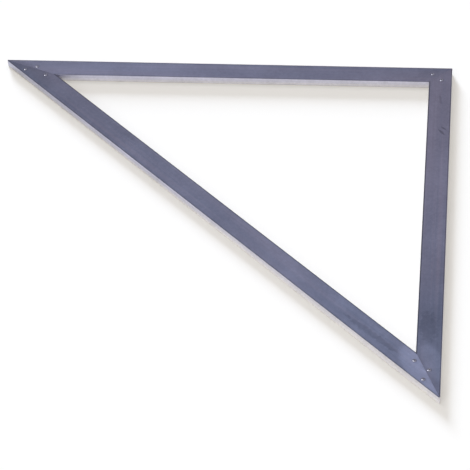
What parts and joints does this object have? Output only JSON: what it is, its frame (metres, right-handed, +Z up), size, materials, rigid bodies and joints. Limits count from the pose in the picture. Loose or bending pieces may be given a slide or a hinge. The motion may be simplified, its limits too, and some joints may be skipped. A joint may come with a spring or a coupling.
{
  "type": "builder's set square",
  "caption": "Large flat set square: three mitred rectangular tubes riveted over corner inserts into a right-angled triangle with equal legs, for setting out square corners.",
  "frame": {"origin": "middle of the bounding box's bottom face; the underside of the rails is at Z = 0", "axes": "+Z up out of the riveted face; +Y square to the far leg's outer edge, out of the triangle; +X square to the near leg's outer edge, out of the triangle; the right angle is at +X +Y"},
  "size_m": [1.2, 1.2, 0.0212],
  "materials": {
    "rail_metal": "mill finish, fine extrusion lines",
    "insert_metal": "as cast",
    "rivet_metal": "satin",
    "mandrel_steel": "zinc plated, broken end"
  },
  "bodies": {
    "root": {"far_rail": "rail_metal", "near_rail": "rail_metal", "hypotenuse_rail": "rail_metal", "square_insert": "insert_metal", "far_insert": "insert_metal", "near_insert": "insert_metal", "rivet_square_far": "rivet_metal", "rivet_square_near": "rivet_metal", "rivet_far_outer": "rivet_metal", "rivet_far_inner": "rivet_metal", "rivet_far_leg": "rivet_metal", "rivet_near_outer": "rivet_metal", "rivet_near_inner": "rivet_metal", "rivet_near_leg": "rivet_metal", "mandrel_square_far": "mandrel_steel", "mandrel_square_near": "mandrel_steel", "mandrel_far_outer": "mandrel_steel", "mandrel_far_inner": "mandrel_steel", "mandrel_far_leg": "mandrel_steel", "mandrel_near_outer": "mandrel_steel", "mandrel_near_inner": "mandrel_steel", "mandrel_near_leg": "mandrel_steel"}
  },
  "joints": []
}
